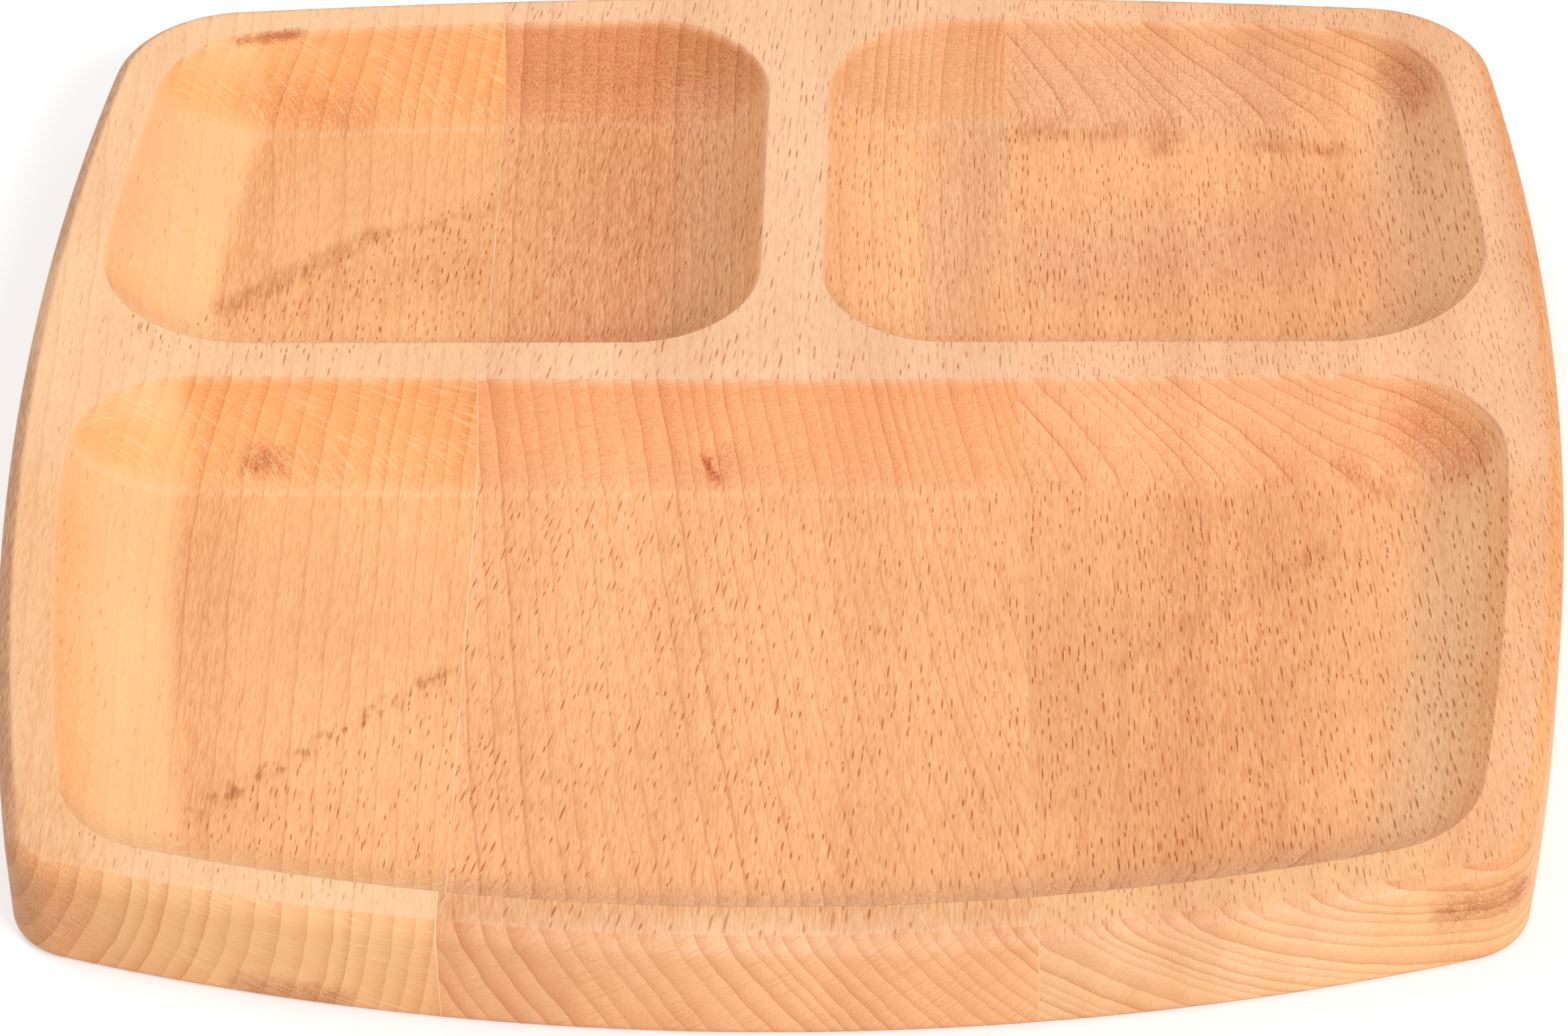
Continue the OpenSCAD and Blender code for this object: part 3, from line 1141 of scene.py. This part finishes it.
@dataclass(frozen=True)
class GlueFinish:
    """White wood glue, cured in a thin film: it dries clear and shows as a fine line, darker in places.

    Attributes:
        name: Name of the material.
        pale_tone: Colour where the film is thick.
        dark_tone: Colour where the wood shows through.
        patch_size: Size of the changes between the two.
        patch_range: Values of the growth between which one turns into the other.
        roughness: Dullness of the film.
        ior: Refractive index of the glue.
    """

    name: str
    pale_tone: str
    dark_tone: str
    patch_size: float = 30.0
    patch_range: Pair = (0.4, 0.6)
    roughness: float = 0.5
    ior: float = 1.47

    def material(self) -> bpy.types.Material:
        """Makes the material.

        Returns:
            The material, with its tree.
        """
        made = bare_material(self.name)
        tree = made.node_tree
        place = add_node(tree, Kind.COORDS).outputs["Object"]
        scale = 1 / (self.patch_size * MM)
        patches = add_node(tree, Kind.NOISE, named={"Vector": place, "Scale": scale})
        share = add_node(tree, Kind.RANGE, patches, *self.patch_range)
        tones = linear(self.pale_tone), linear(self.dark_tone)
        tone = add_node(tree, Kind.MIX, share, *tones, data_type="RGBA")
        looks = {"Base Color": tone, "Roughness": self.roughness, "IOR": self.ior}
        surface = add_node(tree, Kind.SURFACE, named=looks)
        add_node(tree, Kind.OUTPUT, surface)
        return made


@dataclass(frozen=True)
class LaminateFinish:
    """White laminate, pressed smooth, with a dull sheen: it shows white where no shadow falls on it.

    Attributes:
        name: Name of the material.
        tone: Its colour.
        roughness: Its dullness.
        sheen: How strongly it mirrors.
        lift: How much light the eye, a mirror or a glass sees on top of what falls on it.
    """

    name: str = "White laminate"
    tone: str = "#d8d8d8"
    roughness: float = 0.8
    sheen: float = 0.1
    lift: float = 0.42

    def material(self) -> bpy.types.Material:
        """Makes the material.

        Returns:
            The material, with its tree.
        """
        made = bare_material(self.name)
        tree = made.node_tree
        looks = {"Base Color": linear(self.tone), "Roughness": self.roughness}
        looks["Specular IOR Level"] = self.sheen
        surface = add_node(tree, Kind.SURFACE, named=looks)
        rays = add_node(tree, Kind.RAYS).outputs
        seen = add_node(tree, Kind.MATH, rays["Is Camera Ray"], rays["Is Glossy Ray"], operation="MAXIMUM")
        through = add_node(tree, Kind.MATH, seen, rays["Is Transmission Ray"], operation="MAXIMUM")
        lift = add_node(tree, Kind.MATH, through, self.lift, operation="MULTIPLY")
        glow = add_node(tree, Kind.GLOW, named={"Strength": lift})
        add_node(tree, Kind.OUTPUT, add_node(tree, Kind.SUM, surface, glow))
        return made


LEFT_BEECH = BeechFinish(
    name="Beech, left stave",
    rim_tone="#fecf9f",
    hollow_tone="#fec286",
    wall_tone="#fec98f",
    edge_tone="#ffcd9a",
    end_tint="#fdf0de",
    late_tint="#d8b394",
    fleck_tint="#cd9a69",
    pith=(-140.0, 34.0),
    pith_slope=-0.07,
    ring_pitch=3.3,
    face_rings=0.55,
    end_rings=0.85,
    ray_tone="#fde0b4",
    ray_strength=0.28,
    span=(-125.0, -50.0),
    fleck_leans=(1.0, 4.0),
    fleck_share=0.3,
    fleck_cell=(1.3, 4.2, 1.8),
    fleck_half=(0.18, 1.9, 1.8),
    band_strength=0.12,
    pore_strength=0.46,
    # Painted highlight at the foot of the back walls
    painted_foot_highlight=0.5,
    wall_figure=0.35,
    seed=4.0,
    marks=(
        Mark((-87.4, -83.3, 7.0), (-52.7, -50.6, 7.0), 2.8, 0.38, spots=0.85, ragged=0.5),
        Mark((-95.3, 46.5, 7.0), (-71.8, 67.3, 7.0), 3.8, 0.48, spots=0.4, ragged=0.5),
        Mark((-71.8, 67.3, 7.0), (-50.7, 74.7, 7.0), 3.0, 0.25, spots=0.75, ragged=0.4),
        Mark((-80.0, 50.0, 7.0), (-55.0, 56.0, 7.0), 18.0, 0.35, "#e6bf98", Ground.FLOOR),
        Mark((-118.0, -20.0, 18.0), (-104.0, -108.0, 18.0), 14.0, 0.6, "#f8e6cc"),
        Mark((-98.5, 111.6, 17.3), (-88.6, 113.9, 17.5), 1.7, 1.0, ragged=0.3),
        Mark((-95.0, 105.0, 9.5), (-80.0, 102.5, 9.0), 10.0, 0.4, "#d9a377", Ground.HOLLOW),
        Mark((-85.4, 2.0, 9.0), (-83.0, 0.5, 10.5), 5.0, 0.8, "#c48c60"),
        # Painted shade on the left outer side and its rounded edge, which face away from the key
        Mark((-117.3, -80.0, 13.0), (-124.6, 10.0, 13.0), 40.0, 1.0, "#cab6b0", Ground.SIDE),
        Mark((-124.6, 60.0, 13.0), (-120.1, 100.0, 13.0), 40.0, 1.0, "#cab6b0", Ground.SIDE),
        # Painted shade on the floors beside the foot of the left walls
        Mark((-97.1, -6.7, 7.0), (-89.3, -82.4, 7.0), 16.0, 0.25, "#d9b48f", Ground.FLOOR),
        Mark((-93.7, 93.3, 7.0), (-93.9, 45.8, 7.0), 14.0, 0.3, "#d9b48f", Ground.FLOOR),
        Mark((-77.0, -116.5, 2.5), (-63.0, -120.5, 2.0), 4.0, 0.6, "#b98468"),
        # Darker front left corner: partly a reddish tone, partly painted shade where the corner turns away
        # from the key
        Mark((-116.0, -95.0, 9.0), (-108.0, -108.0, 9.0), 17.0, 0.5, "#d4a086"),
        Mark((-110.0, 98.0, 12.0), (-112.0, 40.0, 12.0), 20.0, 1.0, "#fff8f1", Ground.HOLLOW),
    ),
    patches=(
        FleckPatch((-83.5, 57.0, 7.0), (0.66, -0.75, 0.0), 50.0, 0.75),
        FleckPatch((-70.0, -67.0, 7.0), (0.69, -0.73, 0.0), 55.0, 0.6),
    ),
)

MIDDLE_BEECH = BeechFinish(
    name="Beech, middle stave",
    rim_tone="#ffd0a6",
    hollow_tone="#ffc28c",
    wall_tone="#fec790",
    edge_tone="#ffca99",
    end_tint="#fdf4ed",
    late_tint="#d4ae8e",
    fleck_tint="#cb9d70",
    pith=(110.0, 40.0),
    pith_slope=0.325,
    ring_pitch=2.7,
    ring_growth=0.9,
    face_rings=0.6,
    end_rings=0.85,
    ray_tone="#dd9a60",
    ray_strength=0.5,
    span=(-50.0, 38.0),
    fleck_leans=(12.0, 0.0),
    fleck_share=0.75,
    rim_fineness=0.8,
    wall_flecks=0.25,
    band_strength=0.2,
    seed=17.0,
    marks=(
        Mark((-11.4, -2.0, 7.8), (-12.6, 2.2, 8.8), 1.5, 1.0, "#d0784a"),
        Mark((-11.6, -1.0, 8.0), (-9.4, 1.6, 8.6), 5.0, 0.3),
        Mark((-28.0, 40.0, 10.0), (-28.0, 115.0, 10.0), 38.0, 0.42, ground=Ground.HOLLOW),
        Mark((-45.0, 108.0, 14.0), (-12.0, 108.0, 14.0), 14.0, 0.35, ground=Ground.HOLLOW),
        Mark((-46.0, -117.0, 18.0), (37.5, -117.0, 18.0), 10.0, 0.8, "#efd5b0"),
        Mark((12.0, 109.0, 12.0), (38.0, 108.0, 12.0), 22.0, 1.0, "#eef6ff", Ground.HOLLOW),
        Mark((20.0, 45.0, 7.0), (34.0, 95.0, 7.0), 22.0, 0.9, "#f0f4ff", Ground.FLOOR),
    ),
)

RIGHT_BEECH = BeechFinish(
    name="Beech, right stave",
    rim_tone="#fcc699",
    hollow_tone="#fdbf89",
    # These walls face left, away from the key: their paler tone is partly painted light
    wall_tone="#ffce9a",
    edge_tone="#ffcd9b",
    end_tint="#ffffff",
    late_tint="#d4ae8c",
    fleck_tint="#c49464",
    pith=(120.0, 109.0),
    pith_slope=0.0,
    ring_pitch=2.05,
    face_rings=0.25,
    end_rings=0.9,
    wall_fade=0.42,
    ray_tone="#c98d62",
    ray_strength=0.15,
    span=(38.0, 125.0),
    fleck_leans=(0.0, -6.0),
    fleck_share=0.95,
    rim_flecks=0.85,
    rim_fineness=1.3,
    wall_flecks=0.45,
    band_strength=0.35,
    wall_blend=0.55,
    seed=29.0,
    marks=(
        Mark((103.5, 105.8, 14.5), (108.3, 99.5, 12.5), 8.0, 0.58, "#c98459"),
        Mark((102.5, 5.0, 13.0), (109.5, -2.0, 12.5), 10.0, 0.55, "#e0965c", Ground.HOLLOW),
        Mark((90.8, 1.2, 8.0), (95.9, -5.0, 8.0), 4.0, 0.4, "#cf9467", Ground.HOLLOW),
        Mark((100.5, -109.0, 11.5), (110.0, -105.5, 11.5), 5.5, 0.85, "#b5754f"),
        Mark((70.5, -11.0, 7.0), (68.3, -87.6, 7.0), 24.0, 0.3, "#dfb596", Ground.FLOOR),
        Mark((118.0, -20.0, 18.0), (104.0, -108.0, 18.0), 14.0, 0.6, "#f8e6cc"),
        Mark((42.0, -117.0, 18.0), (96.0, -107.5, 18.0), 9.0, 1.0, "#fffff0"),
        Mark((86.4, -19.1, 7.0), (52.3, -48.6, 7.0), 3.5, 0.16),
        Mark((40.0, 97.5, 8.0), (44.0, 99.0, 8.5), 5.0, 0.5, "#cf9a7c"),
        Mark((51.0, 97.0, 8.0), (56.0, 98.0, 8.5), 5.0, 0.45, "#cf9a7c"),
        Mark((62.5, 93.0, 7.5), (63.5, 99.0, 8.5), 5.0, 0.45, "#cf9a7c"),
        Mark((80.0, 93.6, 7.3), (94.0, 91.8, 7.3), 3.5, 0.45, "#cf9a7c"),
        Mark((39.0, 109.0, 12.0), (80.0, 106.0, 12.0), 22.0, 1.0, "#eaf0ff", Ground.HOLLOW),
        Mark((45.0, 60.0, 7.0), (90.0, 66.0, 7.0), 30.0, 0.75, "#f0ecf6", Ground.FLOOR),
        Mark((117.3, -80.0, 13.0), (122.0, 90.0, 13.0), 60.0, 1.0, "#fcedce", Ground.SIDE),
    ),
)


def stave_tree() -> bpy.types.NodeTree:
    """Builds the tree that routs the compartments out of the board and cuts a strip of it between joints.

    Returns:
        The tree, with named inputs for the solids, the strip and the material.
    """
    tree = bpy.data.node_groups.new("Routed stave", "GeometryNodeTree")
    sockets = [
        ("Board", "NodeSocketGeometry"),
        ("Left pan", "NodeSocketObject"),
        ("Right pan", "NodeSocketObject"),
        ("Front pan", "NodeSocketObject"),
        ("From X", "NodeSocketFloat"),
        ("To X", "NodeSocketFloat"),
        ("Joint skew", "NodeSocketFloat"),
        ("Strip length", "NodeSocketFloat"),
        ("Material", "NodeSocketMaterial"),
    ]
    for name, kind in sockets:
        tree.interface.new_socket(name, in_out="INPUT", socket_type=kind)
    tree.interface.new_socket("Stave", in_out="OUTPUT", socket_type="NodeSocketGeometry")
    given = add_node(tree, Kind.GROUP_IN).outputs
    solids = [given[name] for name in ("Left pan", "Right pan", "Front pan")]
    pans = [add_node(tree, Kind.OBJECT, solid).outputs["Geometry"] for solid in solids]
    routed = add_node(tree, Kind.BOOLEAN, given["Board"], pans, operation="DIFFERENCE", solver="MANIFOLD")
    span = add_node(tree, Kind.MATH, given["To X"], given["From X"], operation="SUBTRACT")
    total = add_node(tree, Kind.MATH, given["To X"], given["From X"], operation="ADD")
    middle = add_node(tree, Kind.MATH, total, 0.5, operation="MULTIPLY")
    size = add_node(tree, Kind.JOIN, span, given["Strip length"], given["Strip length"])
    strip = add_node(tree, Kind.CUBE, size)
    centre = add_node(tree, Kind.JOIN, middle, 0.0, 0.0)
    moved = add_node(tree, Kind.MOVE, named={"Geometry": strip, "Translation": centre})
    turn = add_node(tree, Kind.JOIN, 0.0, 0.0, given["Joint skew"])
    turned = add_node(tree, Kind.MOVE, named={"Geometry": moved, "Rotation": turn})
    cut = add_node(tree, Kind.BOOLEAN, [routed, turned], operation="INTERSECT", solver="MANIFOLD")
    smooth = add_node(tree, Kind.SMOOTH, named={"Geometry": cut, "Shade Smooth": True})
    angle = add_node(tree, Kind.EDGE_ANGLE).outputs["Unsigned Angle"]
    sharp = add_node(tree, Kind.COMPARE, angle, math.radians(CREASE), operation="GREATER_THAN")
    edges = {"Geometry": smooth, "Selection": sharp, "Shade Smooth": False}
    creased = add_node(tree, Kind.SMOOTH, named=edges, domain="EDGE")
    real = add_node(tree, Kind.REALIZE, named={"Geometry": creased})
    painted = add_node(tree, Kind.PAINT, named={"Geometry": real, "Material": given["Material"]})
    add_node(tree, Kind.GROUP_OUT, painted)
    return tree


@dataclass
class Strip:
    """One strip of the board between two lines along the glue joints: a stave or a film of glue.

    Attributes:
        name: Name of the piece.
        node: The solid that it stands for.
        slot: Name of a material slot of its solid; not used.
        from_x: Where it starts on the middle line.
        to_x: Where it ends.
        finish: Its finish.
        piece: The finished piece, once it is built.
    """

    name: str
    node: str
    slot: str
    from_x: float
    to_x: float
    finish: BeechFinish | GlueFinish
    piece: bpy.types.Object | None = None

    def build(
        self, tree: bpy.types.NodeTree, solids: dict[str, bpy.types.Object], skew: float, length: float
    ) -> None:
        """Cuts the strip out of the board.

        Args:
            tree: The tree that cuts it.
            solids: The board and the three pans, by their input's name.
            skew: Turn of the joints, in degrees.
            length: Length of the cutting strip.
        """
        worked = placed(self.name, solids["Board"].data)
        modifier = worked.modifiers.new("Routed stave", "NODES")
        modifier.node_group = tree
        values = {
            "From X": self.from_x * MM,
            "To X": self.to_x * MM,
            "Joint skew": math.radians(skew),
            "Strip length": length * MM,
            "Material": self.finish.material(),
        }
        values.update({name: solid for name, solid in solids.items() if name != "Board"})
        for socket in tree.interface.items_tree:
            if socket.name in values:
                modifier[socket.identifier] = values[socket.name]
        # The flats keep their own normals, so that no shade creeps in from the rounded edges
        weighted = worked.modifiers.new("Flats first", "WEIGHTED_NORMAL")
        weighted.keep_sharp = True
        graph = bpy.context.evaluated_depsgraph_get()
        mesh = bpy.data.meshes.new_from_object(worked.evaluated_get(graph), depsgraph=graph)
        worked.modifiers.clear()
        worked.data = mesh
        self.piece = worked

    def dress(self) -> None:
        """Puts the strip in the place of its solid."""
        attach(self.piece, BODY)
        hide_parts(self.node)
        log.info("%s: %d faces, %s", self.name, len(self.piece.data.polygons), self.finish.name)


@dataclass
class ServingPlate:
    """The whole plate: the board, its compartments and the strips that it is glued up from.

    Attributes:
        left_joint_x: Where the left joint crosses the middle line.
        right_joint_x: Where the right joint crosses it.
        joint_skew: Turn of the joints from the front-to-back line, in degrees.
        glue_t: Thickness of the films of glue.
        board: The board that is hollowed and parted.
    """

    left_joint_x: float = -50.0
    right_joint_x: float = 38.0
    joint_skew: float = 1.1
    glue_t: float = 0.15
    board: Board = field(default_factory=Board)

    def strips(self) -> list[Strip]:
        """Lays out the staves and the films of glue.

        Returns:
            The three staves and two films, from left to right.
        """
        half, far = self.glue_t / 2, self.board.width
        left, right = self.left_joint_x, self.right_joint_x
        pale = GlueFinish(name="Wood glue, left joint", pale_tone="#ffdcb0", dark_tone="#e9b880")
        toned = GlueFinish(name="Wood glue, right joint", pale_tone="#f1bf89", dark_tone="#e2ab74")
        return [
            Strip("left_beech_stave", "left_stave", "left_beech", -far, left - half, LEFT_BEECH),
            Strip("left_glue_film", "left_glue_line", "wood_glue", left - half, left + half, pale),
            Strip(
                "middle_beech_stave", "middle_stave", "middle_beech", left + half, right - half, MIDDLE_BEECH
            ),
            Strip("right_glue_film", "right_glue_line", "wood_glue", right - half, right + half, toned),
            Strip("right_beech_stave", "right_stave", "right_beech", right + half, far, RIGHT_BEECH),
        ]

    def build(self) -> list[Strip]:
        """Makes every piece of the plate and dresses it.

        Returns:
            The strips, with their pieces.
        """
        pans = Compartments(self.board).build()
        solids = dict(zip(("Board", "Left pan", "Right pan", "Front pan"), [self.board.build(), *pans]))
        tree = stave_tree()
        strips = self.strips()
        for strip in strips:
            strip.build(tree, solids, self.joint_skew, 2 * self.board.depth)
        for solid in solids.values():
            bpy.data.objects.remove(solid)
        for strip in strips:
            strip.dress()
        return strips


@dataclass
class Studio:
    """The plain white table, the soft light and the camera.

    Attributes:
        azimuth: Turn of the camera from straight in front, in degrees.
        elevation: How far it looks down, in degrees.
        roll: How far it is rolled, in degrees.
        distance: How far it stands from its target.
        target: The point in the middle of its view.
        lens: Its focal length.
        sensor_w: Width of its sensor.
        near: How close it sees.
        key_from: Where the key lamp hangs.
        key_size: Its diameter.
        key_power: Its power in watts.
        fill_from: Where the fill lamp hangs.
        fill_size: Its diameter.
        fill_power: Its power in watts.
        sky: Strength of the even light from all round.
        floor_size: Width of the table.
        floor_finish: Finish of the table.
    """

    azimuth: float = -2.5222
    elevation: float = 38.0465
    roll: float = -1.5926
    distance: float = 985.88
    target: Point3 = (0.6818, -25.1632, 18.0)
    lens: float = 143.48
    sensor_w: float = 36.0
    near: float = 10.0
    key_from: Point3 = (1720.0, -2000.0, 1630.0)
    key_size: float = 1300.0
    key_power: float = 62.3
    fill_from: Point3 = (-1300.0, 1150.0, 2500.0)
    fill_size: float = 1600.0
    fill_power: float = 27.0
    sky: float = 0.515
    floor_size: float = 6000.0
    floor_finish: LaminateFinish = LaminateFinish()

    def set_camera(self) -> None:
        """Sets the camera at the photograph's viewing angle."""
        turn, tilt = math.radians(self.azimuth), math.radians(self.elevation)
        ahead = Vector((math.sin(turn) * math.cos(tilt), math.cos(turn) * math.cos(tilt), -math.sin(tilt)))
        right = Vector((math.cos(turn), -math.sin(turn), 0.0))
        up = right.cross(ahead)
        level = Matrix((right, up, -ahead)).transposed()
        made = bpy.data.cameras.new("camera")
        made.sensor_fit, made.sensor_width, made.lens = "HORIZONTAL", self.sensor_w, self.lens
        made.clip_start = self.near * MM
        camera = placed("camera", made)
        place = (Vector(self.target) - ahead * self.distance) * MM
        turned = level @ Matrix.Rotation(math.radians(self.roll), 3, "Z")
        camera.matrix_world = Matrix.Translation(place) @ turned.to_4x4()
        bpy.context.scene.camera = camera

    def set_lamp(self, name: str, start: Point3, size: float, power: float) -> None:
        """Hangs a round soft lamp that shines on the plate.

        Args:
            name: Name of the lamp.
            start: Where it hangs.
            size: Its diameter.
            power: Its power in watts.
        """
        made = bpy.data.lights.new(name, "AREA")
        made.shape, made.size, made.energy = "DISK", size * MM, power
        lamp = placed(name, made)
        place = Vector(start) * MM
        lamp.matrix_world = Matrix.Translation(place) @ place.to_track_quat("Z", "Y").to_matrix().to_4x4()

    def set_light(self) -> None:
        """Sets a soft key from the front right, a weaker fill from the back left and an even sky."""
        self.set_lamp("key", self.key_from, self.key_size, self.key_power)
        self.set_lamp("fill", self.fill_from, self.fill_size, self.fill_power)
        world = bpy.data.worlds.new("sky")
        world.use_nodes = True
        sky = next(node for node in world.node_tree.nodes if node.type == "BACKGROUND")
        sky.inputs["Color"].default_value = linear("#ffffff")
        sky.inputs["Strength"].default_value = self.sky
        bpy.context.scene.world = world

    def set_floor(self) -> None:
        """Lays the table, which shows white where no shadow falls on it."""
        half = self.floor_size * MM / 2
        mesh = bpy.data.meshes.new("table")
        corners = [(-half, -half, 0), (half, -half, 0), (half, half, 0), (-half, half, 0)]
        mesh.from_pydata(corners, [], [(0, 1, 2, 3)])
        floor = placed("table", mesh)
        mesh.materials.append(self.floor_finish.material())

    def build(self) -> None:
        """Sets up the camera, the light and the table."""
        self.set_camera()
        self.set_light()
        self.set_floor()
        bpy.context.scene.view_settings.view_transform = "Standard"


def main() -> None:
    """Builds the plate and the studio round it."""
    logging.basicConfig(level=logging.INFO, format="%(name)s: %(message)s")
    strips = ServingPlate().build()
    Studio().build()
    log.info("%d pieces", len(strips))


if __name__ == "__main__":
    main()
